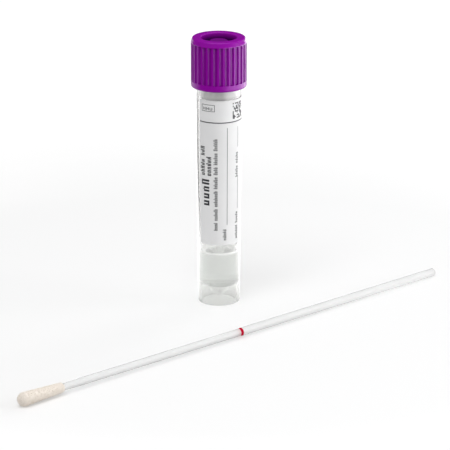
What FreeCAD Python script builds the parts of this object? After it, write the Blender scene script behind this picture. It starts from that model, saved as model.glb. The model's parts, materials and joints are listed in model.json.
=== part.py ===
import FreeCAD, Part

# Specimen swab tube: a skirted screw-cap tube with a little liquid in it, standing on its
# skirt, and the flocked swab that goes into it, lying on the same table. Millimetres and
# degrees, +Z up. The origin is the centre of the tube's foot, on the table.

import math
import os

import Sketcher

# The driving sizes. Each goes to a cell of the sheet under its own name.
SIZES = (
    # tube
    ("tube_length", 71.5, "table to the rim"),
    ("tube_od", 12.0, "outside of the upper wall"),
    ("foot_step", 0.33, "upper wall's outside to the skirt's, by radius"),
    ("foot_band", 6.0, "height of the skirt's straight band"),
    ("straight_wall", 15.0, "undrafted wall below the neck"),
    ("tube_wall", 1.2, "wall between bore and outside"),
    ("neck_length", 10.5, "threaded neck, shoulder to rim"),
    ("neck_step", 0.5, "upper wall's outside to the thread's root, by radius"),
    ("shoulder_slope", 0.35, "height of the shoulder's slope"),
    ("cone_top", 6.3, "where the bore turns into the cone"),
    ("cone_tip", 2.9, "lowest point of the bore"),
    ("cone_tip_d", 1.4, "flat at the cone's tip"),
    ("cone_floor", 1.35, "upright thickness of the cone"),
    ("skirt_wall", 1.0, "thickness of the skirt"),
    ("foot_round", 0.35, "rounding of the foot's outer edge"),
    ("rim_round", 0.25, "rounding of the rim"),
    # cap
    ("cap_height", 13.6, "lower edge to top"),
    ("cap_plate", 2.5, "top plate above the rim of the tube"),
    ("cap_wall", 1.34, "skirt of the cap, bore to rib crest"),
    ("cap_clearance", 0.15, "skirt bore to the tube's wall, all round"),
    ("cap_turn", -1.5, "where the thread stops it, from a rib straight in front"),
    ("bevel_height", 1.2, "sloping shoulder under the cap's top"),
    ("bevel_width", 0.4, "how far that shoulder leans in"),
    ("top_round", 0.45, "rounding of the cap's top edge"),
    ("collar_round", 0.6, "rounding of the cap's lower edge"),
    ("rib_count", 30, "ribs, and flutes between them"),
    ("flute_width", 1.24, "flute across its mouth"),
    ("flute_depth", 0.5, "flute, crest to floor"),
    ("collar_height", 1.8, "smooth collar under the flutes"),
    ("flute_top_gap", 1.4, "smooth band above the flutes"),
    ("well_depth", 1.7, "depth of the well in the cap's top"),
    ("well_wall", 0.1, "seal ring's outside to the well's floor, by radius"),
    ("well_flare", 0.15, "how far the well opens from floor to mouth"),
    ("well_round", 0.35, "rounding of the well's lip"),
    ("floor_wall", 1.1, "thickness under the well"),
    ("boss_d", 5.0, "round boss in the middle of the well"),
    ("boss_drop", 0.95, "boss top below the cap's top"),
    ("boss_round", 0.3, "rounding of the boss's edge"),
    ("plug_gap", 0.05, "seal ring to the tube's bore, all round"),
    ("plug_wall", 0.8, "thickness of the seal ring"),
    ("plug_length", 3.5, "seal ring below the rim"),
    ("plug_round", 0.3, "rounding of the seal ring's lower edges"),
    ("hub_d", 4.6, "outside of the swab funnel"),
    ("hub_length", 5.0, "funnel below the well's underside"),
    ("funnel_d", 3.6, "mouth of the funnel"),
    ("funnel_height", 2.7, "height of the funnel's cone"),
    ("capture_gap", 0.03, "catching bore to the stick, all round"),
    ("boss_crown", 1.15, "plastic left over the catching bore"),
    # label
    ("label_foot", 17.45, "table to the label's bottom edge"),
    ("label_drop", 3.2, "shoulder to the label's top edge"),
    ("label_film", 0.1, "thickness of the film"),
    ("label_glue", 0.03, "glue between film and tube"),
    ("label_wrap", 315.0, "angle that the label covers"),
    ("label_start", -146.2, "direction of its first upright edge"),
    # liquid
    ("medium_level", 14.0, "middle of the liquid's surface"),
    ("meniscus_rise", 0.5, "how far it climbs at the wall"),
    ("medium_gap", 0.03, "liquid to the bore, all round"),
    # swab
    ("swab_length", 152.0, "nose of the flock to the end of the stick"),
    ("flock_length", 15.0, "nose to the flock's back end"),
    ("fibre_length", 1.05, "fibre round and ahead of the stick's end"),
    ("fibre_back", 0.55, "fibre round it at the flock's back end"),
    ("flock_back_round", 0.5, "rounding of that end"),
    ("flock_glue", 0.03, "glue between fibres and stick"),
    ("core_step", 0.1, "how much thinner the stick is there, by radius"),
    ("core_round", 0.6, "rounding of the stick's covered end"),
    ("neck_taper", 5.0, "taper behind the flock"),
    ("stick_d", 2.0, "stick between the flock and the break"),
    ("handle_step", 0.1, "how much thicker it is behind the break, by radius"),
    ("handle_round", 0.3, "rounding of the handle's end"),
    ("break_place", 76.9, "nose to the break groove"),
    ("break_width", 0.6, "break groove along the stick"),
    ("break_d", 1.1, "stick left in the groove"),
    ("swab_x", -49.84, "nose of the swab on the table, along X"),
    ("swab_y", -84.65, "nose of the swab on the table, along Y"),
    ("swab_heading", 43.85, "direction from its nose to its handle"),
)


class Size:
    """A number with the expression that ties it to the sheet."""

    def __init__(self, text, value):
        self.text = text
        self.value = value

    def combine(self, sign, other, value):
        return Size(f"({self.text} {sign} {as_size(other).text})", value)

    def __add__(self, other):
        return self.combine("+", other, self.value + as_size(other).value)

    def __sub__(self, other):
        return self.combine("-", other, self.value - as_size(other).value)

    def __mul__(self, other):
        return self.combine("*", other, self.value * as_size(other).value)

    def __truediv__(self, other):
        return self.combine("/", other, self.value / as_size(other).value)


def as_size(number):
    return number if isinstance(number, Size) else Size(str(number), number)


def cosine(angle):
    return Size(f"cos({angle.text})", math.cos(math.radians(angle.value)))


def sine(angle):
    return Size(f"sin({angle.text})", math.sin(math.radians(angle.value)))


def slope_angle(rise, run):
    ratio = rise / run
    return Size(f"atan({ratio.text})", math.degrees(math.atan(ratio.value)))


document = FreeCAD.newDocument("swab_tube")
sheet = document.addObject("Spreadsheet::Sheet", "Sheet")
for row, (name, value, meaning) in enumerate(SIZES, 1):
    sheet.set(f"A{row}", name)
    sheet.set(f"B{row}", str(value))
    sheet.set(f"C{row}", meaning)
    sheet.setAlias(f"B{row}", name)
document.recompute()


def size(name):
    return Size(f"Sheet.{name}", float(sheet.get(name)))


ZERO = as_size(0)


# ---- tools for drawing ----------------------------------------------------------------


def bind(feature, **sizes):
    """Give a feature's properties their values, and tie them to the sheet."""
    for name, length in sizes.items():
        setattr(feature, name, length.value)
        feature.setExpression(name, length.text)


def new_body(label):
    body = document.addObject("PartDesign::Body", label)
    body.Label = label
    return body


def new_sketch(body, name, plane, height=ZERO):
    """A sketch on one of the body's own origin planes, raised by height."""
    sketch = body.newObject("Sketcher::SketchObject", name)
    support = [part for part in body.Origin.OriginFeatures if part.Role == plane][0]
    sketch.AttachmentSupport = [(support, "")]
    sketch.MapMode = "FlatFace"
    if height is not ZERO:
        sketch.AttachmentOffset = FreeCAD.Placement(
            FreeCAD.Vector(0, 0, height.value), FreeCAD.Rotation()
        )
        sketch.setExpression("AttachmentOffset.Base.z", height.text)
    return sketch


def hold(sketch, edge, end, corner):
    """Hold one end of an edge at its corner, by its two distances from the origin."""
    for kind, axis, distance in (("DistanceX", -2, corner[0]), ("DistanceY", -1, corner[1])):
        if distance is ZERO:
            sketch.addConstraint(Sketcher.Constraint("PointOnObject", edge, end, axis))
            continue
        rule = Sketcher.Constraint(kind, -1, 1, edge, end, distance.value)
        number = sketch.addConstraint(rule)
        sketch.setExpression(f"Constraints[{number}]", distance.text)


class Arc:
    """A round stretch of an outline, from one corner clockwise to the next.

    Its two corners and the axis that its centre lies on are all that hold it, so the
    centre and the angles, in degrees, only say which way it bulges."""

    def __init__(self, edge, centre, angles, centre_axis):
        self.edge = edge
        self.centre = FreeCAD.Vector(centre[0].value, centre[1].value, 0)
        self.angles = [math.radians(angle) for angle in angles]
        self.centre_axis = centre_axis


def draw_outline(sketch, corners, arc=None):
    """A closed outline through corners, straight but for the one arc that it may have."""
    count = len(corners)
    points = [FreeCAD.Vector(x.value, y.value, 0) for x, y in corners]
    for number in range(count):
        if arc and number == arc.edge:
            radius = arc.centre.distanceToPoint(points[number])
            circle = Part.Circle(arc.centre, FreeCAD.Vector(0, 0, 1), radius)
            sketch.addGeometry(Part.ArcOfCircle(circle, *arc.angles), False)
        else:
            line = Part.LineSegment(points[number], points[(number + 1) % count])
            sketch.addGeometry(line, False)
    for number in range(count):
        # an arc's own direction is anticlockwise, so it runs against the outline
        before = (number - 1) % count
        first = 2 if arc and number == arc.edge else 1
        last = 1 if arc and before == arc.edge else 2
        sketch.addConstraint(Sketcher.Constraint("Coincident", before, last, number, first))
        hold(sketch, number, first, corners[number])
    if arc:
        sketch.addConstraint(
            Sketcher.Constraint("PointOnObject", arc.edge, 3, arc.centre_axis)
        )


def turned(body, name, corners, kind="PartDesign::Revolution", axis="V_Axis", arc=None):
    """Turn an outline about the body's axis, to add it or, as a Groove, to cut it away."""
    sketch = new_sketch(body, f"{name}_outline", "XZ_Plane")
    draw_outline(sketch, corners, arc)
    feature = body.newObject(kind, name)
    feature.Profile = sketch
    feature.ReferenceAxis = (sketch, [axis])
    feature.Angle = 360
    document.recompute()
    return feature


def cut_turned(body, name, corners, axis="V_Axis"):
    """A turned cut, which has to take something away."""
    before = body.Shape.Volume
    turned(body, name, corners, "PartDesign::Groove", axis)
    if body.Shape.Volume >= before:
        raise RuntimeError(f"{name} cuts nothing")


UPRIGHT = FreeCAD.Vector(0, 0, 1)
LENGTHWISE = FreeCAD.Vector(1, 0, 0)


def rounded(body, name, radius, rings, axis=UPRIGHT):
    """Round the circular edges at rings, each (ring radius, place along the axis)."""
    base = body.Tip
    edges = []
    for ring_radius, place in rings:
        found = [
            f"Edge{number}"
            for number, edge in enumerate(base.Shape.Edges, 1)
            if not edge.Degenerated
            and isinstance(edge.Curve, Part.Circle)
            and abs(edge.Curve.Radius - ring_radius.value) < 0.001
            and abs(edge.Curve.Center.dot(axis) - place.value) < 0.001
        ]
        if not found:
            raise RuntimeError(f"{name} finds no edge at {place.value}")
        edges += found
    fillet = body.newObject("PartDesign::Fillet", name)
    fillet.Base = (base, edges)
    bind(fillet, Radius=radius)
    document.recompute()


# ---- sizes that more than one piece shares --------------------------------------------

tube_top = size("tube_length")
tube_r = size("tube_od") / 2
foot_r = tube_r - size("foot_step")
foot_band = size("foot_band")
neck_r = tube_r - size("neck_step")
shoulder = tube_top - size("neck_length")
draft_top = shoulder - size("straight_wall")
draft = (tube_r - foot_r) / (draft_top - foot_band)
bore_r = tube_r - size("tube_wall")
bore_foot_r = foot_r - size("tube_wall")
cone_top = size("cone_top")
cone_tip = size("cone_tip")
cone_tip_r = size("cone_tip_d") / 2
stick_r = size("stick_d") / 2


def wall_r(height):
    """Outside of the tube's drafted wall at a height."""
    return foot_r + draft * (height - foot_band)


# ---- the tube -------------------------------------------------------------------------


def make_tube():
    body = new_body("tube")
    slope = size("shoulder_slope")
    turned(
        body,
        "tube_blank",
        [
            (ZERO, ZERO),
            (foot_r, ZERO),
            (foot_r, foot_band),
            (tube_r, draft_top),
            (tube_r, shoulder),
            (neck_r, shoulder + slope),
            (neck_r, tube_top),
            (ZERO, tube_top),
        ],
    )
    # the core pin that leaves the bore: straight at the top, drafted, then the cone
    cut_turned(
        body,
        "bore",
        [
            (ZERO, cone_tip),
            (cone_tip_r, cone_tip),
            (bore_foot_r, cone_top),
            (bore_r, draft_top),
            (bore_r, tube_top),
            (ZERO, tube_top),
        ],
    )
    # under the cone the skirt is hollow, so that the cone keeps an even thickness
    skirt_r = foot_r - size("skirt_wall")
    cone_slope = (cone_top - cone_tip) / (bore_foot_r - cone_tip_r)
    cone_under = cone_tip - size("cone_floor")
    cut_turned(
        body,
        "skirt_hollow",
        [
            (ZERO, ZERO),
            (skirt_r, ZERO),
            (skirt_r, cone_under + (skirt_r - cone_tip_r) * cone_slope),
            (cone_tip_r, cone_under),
            (ZERO, cone_under),
        ],
    )
    rounded(body, "foot_rounding", size("foot_round"), [(foot_r, ZERO)])
    rounded(
        body,
        "rim_rounding",
        size("rim_round"),
        [(neck_r, tube_top), (bore_r, tube_top)],
    )


# ---- the cap --------------------------------------------------------------------------


def make_cap():
    body = new_body("cap")
    top = tube_top + size("cap_plate")
    low = top - size("cap_height")
    skirt_bore_r = tube_r + size("cap_clearance")
    crest_r = skirt_bore_r + size("cap_wall")
    bevel_foot = top - size("bevel_height")
    rim_r = crest_r - size("bevel_width")
    turned(
        body,
        "cap_blank",
        [
            (ZERO, low),
            (crest_r, low),
            (crest_r, bevel_foot),
            (rim_r, top),
            (ZERO, top),
        ],
    )
    cut_turned(
        body,
        "skirt_bore",
        [(ZERO, low), (skirt_bore_r, low), (skirt_bore_r, tube_top), (ZERO, tube_top)],
    )

    # what hangs under the top plate: the well's floor, the seal ring and the swab funnel
    floor = top - size("well_depth")
    floor_under = floor - size("floor_wall")
    plug_r = bore_r - size("plug_gap")
    plug_bore_r = plug_r - size("plug_wall")
    plug_low = tube_top - size("plug_length")
    hub_r = size("hub_d") / 2
    hub_low = floor_under - size("hub_length")
    turned(
        body,
        "plug_and_hub",
        [
            (ZERO, hub_low),
            (hub_r, hub_low),
            (hub_r, floor_under),
            (plug_bore_r, floor_under),
            (plug_bore_r, plug_low),
            (plug_r, plug_low),
            (plug_r, tube_top),
            (ZERO, tube_top),
        ],
    )

    # the well round the boss
    well_floor_r = plug_r - size("well_wall")
    well_r = well_floor_r + size("well_flare")
    boss_r = size("boss_d") / 2
    boss_top = top - size("boss_drop")
    cut_turned(
        body,
        "well",
        [
            (ZERO, boss_top),
            (boss_r, boss_top),
            (boss_r, floor),
            (well_floor_r, floor),
            (well_r, top),
            (ZERO, top),
        ],
    )

    # the broken stick goes up the funnel into a bore that ends inside the boss
    capture_r = stick_r + size("capture_gap")
    funnel_r = size("funnel_d") / 2
    funnel_top = hub_low + size("funnel_height")
    capture_top = boss_top - size("boss_crown")
    cut_turned(
        body,
        "funnel",
        [
            (ZERO, hub_low),
            (funnel_r, hub_low),
            (capture_r, funnel_top),
            (capture_r, capture_top),
            (ZERO, capture_top),
        ],
    )

    rounded(body, "top_rounding", size("top_round"), [(rim_r, top)])
    rounded(body, "collar_rounding", size("collar_round"), [(crest_r, low)])
    rounded(body, "well_rounding", size("well_round"), [(well_r, top)])
    rounded(body, "boss_rounding", size("boss_round"), [(boss_r, boss_top)])
    rounded(
        body,
        "plug_rounding",
        size("plug_round"),
        [(plug_r, plug_low), (plug_bore_r, plug_low)],
    )
    cut_flutes(body, crest_r, low, top)
    turn = size("cap_turn")
    body.Placement.Rotation = FreeCAD.Rotation(UPRIGHT, turn.value)
    body.setExpression("Placement.Rotation.Angle", turn.text)


def cut_flutes(body, crest_r, low, top):
    """The round-bottomed flutes between the ribs, closed at both ends."""
    flute_low = low + size("collar_height")
    flute_top = top - size("flute_top_gap")
    depth = size("flute_depth")
    half_width = size("flute_width") / 2
    cutter_r = (half_width * half_width + depth * depth) / (depth * 2)
    sketch = new_sketch(body, "flute_outline", "XY_Plane", flute_low)
    place = crest_r - depth + cutter_r
    circle = Part.Circle(
        FreeCAD.Vector(place.value, 0, 0), FreeCAD.Vector(0, 0, 1), cutter_r.value
    )
    sketch.addGeometry(circle, False)
    sketch.addConstraint(Sketcher.Constraint("PointOnObject", 0, 3, -1))
    number = sketch.addConstraint(
        Sketcher.Constraint("DistanceX", -1, 1, 0, 3, place.value)
    )
    sketch.setExpression(f"Constraints[{number}]", place.text)
    number = sketch.addConstraint(Sketcher.Constraint("Radius", 0, cutter_r.value))
    sketch.setExpression(f"Constraints[{number}]", cutter_r.text)
    before = body.Shape.Volume
    pocket = body.newObject("PartDesign::Pocket", "flute")
    pocket.Profile = sketch
    pocket.Reversed = True
    bind(pocket, Length=flute_top - flute_low)
    document.recompute()
    one_flute = before - body.Shape.Volume
    if one_flute <= 0:
        raise RuntimeError("the flute cuts nothing")
    pattern = body.newObject("PartDesign::PolarPattern", "flutes")
    pattern.Originals = [pocket]
    pattern.Axis = (sketch, ["N_Axis"])
    pattern.Angle = 360
    ribs = size("rib_count")
    pattern.Occurrences = round(ribs.value)
    pattern.setExpression("Occurrences", ribs.text)
    body.Tip = pattern
    document.recompute()
    if before - body.Shape.Volume < one_flute * (ribs.value - 0.5):
        raise RuntimeError("the flutes are not all cut")


# ---- the label ------------------------------------------------------------------------


def make_label():
    body = new_body("label")
    top = shoulder - size("label_drop")
    low = size("label_foot")
    inner = size("label_glue")
    outer = inner + size("label_film")
    film = turned(
        body,
        "film",
        [
            (wall_r(low) + inner, low),
            (wall_r(low) + outer, low),
            (tube_r + outer, draft_top),
            (tube_r + outer, top),
            (tube_r + inner, top),
            (tube_r + inner, draft_top),
        ],
    )
    bind(film, Angle=size("label_wrap"))
    start = size("label_start")
    body.Placement.Rotation = FreeCAD.Rotation(UPRIGHT, start.value)
    body.setExpression("Placement.Rotation.Angle", start.text)


# ---- the liquid -----------------------------------------------------------------------


def make_medium():
    body = new_body("transport_medium")
    gap = size("medium_gap")
    level = size("medium_level")
    edge = level + size("meniscus_rise")
    edge_r = wall_r(edge) - size("tube_wall") - gap
    rise = size("meniscus_rise")
    bowl_r = (edge_r * edge_r + rise * rise) / (rise * 2)
    lean = math.degrees(math.asin(edge_r.value / bowl_r.value))
    turned(
        body,
        "liquid",
        [
            (ZERO, cone_tip + gap),
            (cone_tip_r, cone_tip + gap),
            (bore_foot_r - gap, cone_top + gap),
            (edge_r, edge),
            (ZERO, level),
        ],
        arc=Arc(3, (ZERO, level + bowl_r), (270, 270 + lean), centre_axis=-2),
    )


# ---- the swab -------------------------------------------------------------------------

flock_end = size("flock_length")
core_r = stick_r - size("core_step")
core_start = size("fibre_length")
flock_r = core_r + core_start
handle_r = stick_r + size("handle_step")
swab_end = size("swab_length")


def lay_down(body):
    """Lay a swab piece on the table, on the fattest ring of the flock and its handle's end.

    The nose is a hemisphere, so its fattest ring lies one radius behind the tip."""
    tilt = slope_angle(flock_r - handle_r, swab_end - size("handle_round") - flock_r)
    height = flock_r * cosine(tilt) + flock_r * sine(tilt)
    heading = size("swab_heading")
    body.Placement = FreeCAD.Placement(
        FreeCAD.Vector(size("swab_x").value, size("swab_y").value, height.value),
        FreeCAD.Rotation(heading.value, tilt.value, 0),
    )
    body.setExpression("Placement.Base.x", size("swab_x").text)
    body.setExpression("Placement.Base.y", size("swab_y").text)
    body.setExpression("Placement.Base.z", height.text)


def make_swab_shaft():
    body = new_body("swab_shaft")
    taper_end = flock_end + size("neck_taper")
    groove = size("break_place")
    half = size("break_width") / 2
    turned(
        body,
        "stick",
        [
            (core_start, ZERO),
            (core_start, core_r),
            (flock_end, core_r),
            (taper_end, stick_r),
            (groove - half, stick_r),
            (groove, size("break_d") / 2),
            (groove + half, handle_r),
            (swab_end, handle_r),
            (swab_end, ZERO),
        ],
        axis="H_Axis",
    )
    rounded(body, "core_rounding", size("core_round"), [(core_r, core_start)], LENGTHWISE)
    rounded(body, "end_rounding", size("handle_round"), [(handle_r, swab_end)], LENGTHWISE)
    lay_down(body)


def make_flocked_tip():
    body = new_body("flocked_tip")
    back_r = core_r + size("fibre_back")
    glue = size("flock_glue")
    turned(
        body,
        "flock",
        [
            (ZERO, ZERO),
            (flock_r, flock_r),
            (flock_end, back_r),
            (flock_end, ZERO),
        ],
        axis="H_Axis",
        arc=Arc(0, (flock_r, ZERO), (90, 180), centre_axis=-1),
    )
    cut_turned(
        body,
        "socket",
        [
            (core_start - glue, ZERO),
            (core_start - glue, core_r + glue),
            (flock_end, core_r + glue),
            (flock_end, ZERO),
        ],
        axis="H_Axis",
    )
    rounded(
        body, "back_rounding", size("flock_back_round"), [(back_r, flock_end)], LENGTHWISE
    )
    lay_down(body)


# ---- build, check and write -----------------------------------------------------------

make_tube()
make_cap()
make_label()
make_medium()
make_swab_shaft()
make_flocked_tip()
document.recompute()

for item in document.Objects:
    if "Invalid" in item.State or "Error" in item.State:
        raise RuntimeError(f"{item.Label} failed: {item.State}")

os.makedirs("parts", exist_ok=True)
for body in document.findObjects("PartDesign::Body"):
    shape = body.Shape
    if shape.isNull() or not shape.isValid() or len(shape.Solids) != 1:
        raise RuntimeError(f"{body.Label} is not one sound solid")
    shape.exportStep(f"parts/{body.Label}.step")
    print(f"{body.Label}: {shape.Volume:.2f} cubic mm")
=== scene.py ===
# %% [markdown]
# # A specimen swab tube, dressed and lit
#
# The object is a small laboratory tube. It stands on its skirt, its screw cap is on, a
# writing label is wrapped round it and a little clear liquid is in it. The swab that goes
# into it lies on the same table. Six solids come in ready made, with their true sizes. What
# is left is what the eye reads first: milky plastic, satin violet plastic, printed film,
# liquid and the fuzz of the flocked tip. Those are finishes and very fine shapes, and they
# are made here, one step to a cell.

# %% Load the solids
import json
import math
import random

import bmesh
import bpy
from mathutils import Matrix, Vector

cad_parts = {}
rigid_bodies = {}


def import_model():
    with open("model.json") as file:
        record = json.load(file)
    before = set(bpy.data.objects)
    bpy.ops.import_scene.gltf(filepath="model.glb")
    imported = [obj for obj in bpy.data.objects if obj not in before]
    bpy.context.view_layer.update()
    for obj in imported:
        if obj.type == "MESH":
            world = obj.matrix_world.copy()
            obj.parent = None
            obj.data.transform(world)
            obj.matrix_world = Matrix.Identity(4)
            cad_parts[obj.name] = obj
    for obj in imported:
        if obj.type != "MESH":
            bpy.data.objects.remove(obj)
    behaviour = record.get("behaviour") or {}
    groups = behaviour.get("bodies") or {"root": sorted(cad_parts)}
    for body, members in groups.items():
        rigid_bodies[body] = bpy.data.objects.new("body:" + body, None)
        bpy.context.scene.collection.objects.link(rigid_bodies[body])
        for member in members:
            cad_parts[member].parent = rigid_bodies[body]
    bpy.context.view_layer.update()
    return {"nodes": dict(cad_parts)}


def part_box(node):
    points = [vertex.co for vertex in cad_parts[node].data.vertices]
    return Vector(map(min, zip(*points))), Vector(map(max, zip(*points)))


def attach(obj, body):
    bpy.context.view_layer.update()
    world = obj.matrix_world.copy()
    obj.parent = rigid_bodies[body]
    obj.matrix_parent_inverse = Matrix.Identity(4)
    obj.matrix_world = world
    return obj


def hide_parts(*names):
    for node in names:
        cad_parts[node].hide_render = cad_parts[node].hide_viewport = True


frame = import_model()
nodes = frame["nodes"]
print("solids:", sorted(nodes))

# %% [markdown]
# ## The sizes that everything hangs on
#
# Every length in the scene is in metres, and a small object is easier to think about in
# millimetres, so one constant turns one into the other. The other sizes repeat what the
# solids are: the radii of the wall, the place of the cap, and the line that the swab lies
# on. A few are read straight from the boxes of the solids.

# %% Sizes
MM = 0.001
WALL_R = 6.0 * MM
FOOT_R = 5.67 * MM
TUBE_WALL = 1.2 * MM
FOOT_BAND = 6.0 * MM
DRAFT_TOP = 46.0 * MM
NECK_R = 5.5 * MM
CAP_BORE_R = 6.15 * MM
FLUTE_EDGE_R, FLUTE_FLOOR_R = 7.47 * MM, 7.05 * MM
SKIN_START_R, SKIN_END_R = 5.0 * MM, 5.2 * MM
CONE_TIP, CONE_TIP_R, CONE_TOP = 2.9 * MM, 0.7 * MM, 6.3 * MM
LEVEL = 14.0 * MM
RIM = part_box("tube")[1].z
CAP_LOW, CAP_TOP = (corner.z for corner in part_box("cap"))
LABEL_LOW, LABEL_TOP = (corner.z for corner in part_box("label"))
LABEL_GAP = 0.13 * MM

SWAB_NOSE = Vector((-49.84, -84.65, 0)) * MM
SWAB_HEADING = math.radians(43.85)
SWAB_LENGTH = 152.0 * MM
FLOCK_LENGTH = 15.0 * MM
FLOCK_R = 1.95 * MM
HANDLE_R = 1.1 * MM
HANDLE_ROUND = 0.3 * MM
BREAK_PLACE = 76.9 * MM


def wall_radius(height):
    """Outside of the tube at a height, as its draft leaves it."""
    share = (height - FOOT_BAND) / (DRAFT_TOP - FOOT_BAND)
    return FOOT_R + (WALL_R - FOOT_R) * min(max(share, 0), 1)


print("rim at", round(RIM / MM, 2), "mm, cap from", round(CAP_LOW / MM, 2), "to",
      round(CAP_TOP / MM, 2), "mm, label from", round(LABEL_LOW / MM, 2), "mm")

# %% [markdown]
# ## Two helpers for materials
#
# A material is a small graph of nodes. Colours are easiest to choose as the hex values of a
# paint program, but Blender adds light in linear numbers, so one function turns the first
# into the second. Another adds a node, gives it its settings and joins it up, so that each
# material below reads as a list of what it is made of.

# %% Colour and node helpers
def linear(hex_colour, alpha=1.0):
    """An sRGB hex colour as the linear red, green, blue and alpha that nodes take."""
    channels = [int(hex_colour[place:place + 2], 16) / 255 for place in (1, 3, 5)]
    return [c / 12.92 if c <= 0.04045 else ((c + 0.055) / 1.055) ** 2.4
            for c in channels] + [alpha]


def add_node(tree, kind, settings=None, **inputs):
    """Add a node. Settings are its own options; inputs are numbers, colours or links.

    An input's name is written with underscores for spaces, or as i0, i1 for its place."""
    node = tree.nodes.new(kind)
    for name, value in (settings or {}).items():
        setattr(node, name, value)
    for name, value in inputs.items():
        place = int(name[1:]) if name[0] == "i" and name[1:].isdigit() else None
        key = place if place is not None else name.replace("_", " ")
        socket = node.inputs[key]
        if isinstance(value, bpy.types.NodeSocket):
            tree.links.new(value, socket)
        else:
            socket.default_value = value
    return node


def new_material(name):
    """A material with an empty graph and its output node."""
    material = bpy.data.materials.new(name)
    material.use_nodes = True
    tree = material.node_tree
    tree.nodes.clear()
    return material, tree, tree.nodes.new("ShaderNodeOutputMaterial")


def bump_of(tree, height, depth, strength):
    """Turn a pattern into small ups and downs of the surface, depth metres high."""
    return add_node(tree, "ShaderNodeBump", Strength=strength, Distance=depth,
                    Height=height).outputs["Normal"]


def object_coordinates(tree):
    return add_node(tree, "ShaderNodeTexCoord").outputs["Object"]


def let_light_through(tree, shader, share, tint):
    """Let a share of the light pass on to what is inside or behind, instead of shading it.

    Rays that ask whether a lamp can be seen stop at glass, so everything inside a
    translucent wall would stay dark without this."""
    path = add_node(tree, "ShaderNodeLightPath")
    passed = add_node(tree, "ShaderNodeMath", {"operation": "MULTIPLY"},
                      i0=path.outputs["Is Shadow Ray"], i1=share)
    clear = add_node(tree, "ShaderNodeBsdfTransparent", Color=tint)
    return add_node(tree, "ShaderNodeMixShader", i0=passed.outputs[0],
                    i1=shader.outputs[0], i2=clear.outputs[0]).outputs[0]


print("mid grey in linear light:", round(linear("#808080")[0], 3))

# %% [markdown]
# ## Natural polypropylene
#
# The tube is moulded from polypropylene with no pigment. It lets light through but blurs it,
# because the plastic crystallises in tiny grains: the wall looks like thin milk. Plain glass
# would be too clear and a plain white too dead, so the shader passes most of the light on
# and scatters the rest. The outside copies the polished mould, so it keeps a soft shine.
#
# The plastic's real index is 1.49. At that the liquid seems to fill the whole width of the
# tube, so a lower one is used, which leaves some wall in sight beside it. A clear coat on
# top keeps the shine that the lower index would lose.

# %% Material: natural polypropylene
def natural_polypropylene():
    material, tree, out = new_material("natural_polypropylene_moulded")
    place = object_coordinates(tree)
    # flow marks: long soft streaks up the wall, 1.5 mm apart round it and 12 mm long
    stretched = add_node(tree, "ShaderNodeMapping", Vector=place, Scale=(1, 1, 0.12))
    streaks = add_node(tree, "ShaderNodeTexNoise", Vector=stretched.outputs[0],
                       Scale=1 / (1.5 * MM), Detail=2.0)
    haze = add_node(tree, "ShaderNodeMapRange", Value=streaks.outputs["Fac"],
                    To_Min=0.0, To_Max=0.04)
    # the core pin polishes the bore, but its cone is turned and leaves a finer frost, so
    # most of the milk is seen in the outer skin, above all at the neck, and in the cone
    flat = add_node(tree, "ShaderNodeVectorMath", {"operation": "MULTIPLY"}, i0=place,
                    i1=(1, 1, 0))
    radius = add_node(tree, "ShaderNodeVectorMath", {"operation": "LENGTH"},
                      i0=flat.outputs[0]).outputs["Value"]
    parts = add_node(tree, "ShaderNodeSeparateXYZ", Vector=place)
    bore = add_node(tree, "ShaderNodeMapRange", Value=parts.outputs["Z"],
                    From_Min=CONE_TOP - 0.1 * MM, From_Max=CONE_TOP + 0.1 * MM,
                    To_Min=0.78, To_Max=0.98)
    skin = add_node(tree, "ShaderNodeMapRange", Value=parts.outputs["Z"],
                    From_Min=LABEL_TOP, From_Max=LABEL_TOP + 1 * MM, To_Min=0.875,
                    To_Max=0.6)
    clear = add_node(tree, "ShaderNodeMapRange", Value=radius, From_Min=SKIN_START_R,
                     From_Max=SKIN_END_R, To_Min=bore.outputs[0], To_Max=skin.outputs[0])
    # the colour is greyer towards the bottom, fading out at the top of the cone inside the foot
    upper = add_node(tree, "ShaderNodeMapRange", {"interpolation_type": "SMOOTHSTEP"},
                     Value=parts.outputs["Z"], From_Max=CONE_TOP)
    tone = add_node(tree, "ShaderNodeMix", {"data_type": "RGBA"}, i0=upper.outputs[0],
                    i6=linear("#DADBD9"), i7=linear("#FEFEFD"))
    ripple = add_node(tree, "ShaderNodeTexNoise", Vector=place, Scale=1 / (2.5 * MM))
    shader = add_node(
        tree, "ShaderNodeBsdfPrincipled",
        Base_Color=tone.outputs[2],
        Roughness=haze.outputs[0],
        IOR=1.25,
        Coat_Weight=1.0,
        Coat_Roughness=0.06,
        Transmission_Weight=clear.outputs[0],
        Normal=bump_of(tree, ripple.outputs["Fac"], 0.02 * MM, 0.25),
    )
    milk = add_node(tree, "ShaderNodeMapRange", Value=radius, From_Min=SKIN_START_R,
                    From_Max=SKIN_END_R, To_Min=0.0, To_Max=0.12)
    through = add_node(tree, "ShaderNodeBsdfTranslucent", Color=tone.outputs[2])
    wall = add_node(tree, "ShaderNodeMixShader", i0=milk.outputs[0], i1=shader.outputs[0],
                    i2=through.outputs[0])
    surface = let_light_through(tree, wall, 0.96, linear("#FEFEFE"))
    tree.links.new(surface, out.inputs["Surface"])
    return material


tube_plastic = natural_polypropylene()
nodes["tube"].data.materials[0] = tube_plastic
print("tube:", tube_plastic.name)
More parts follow.
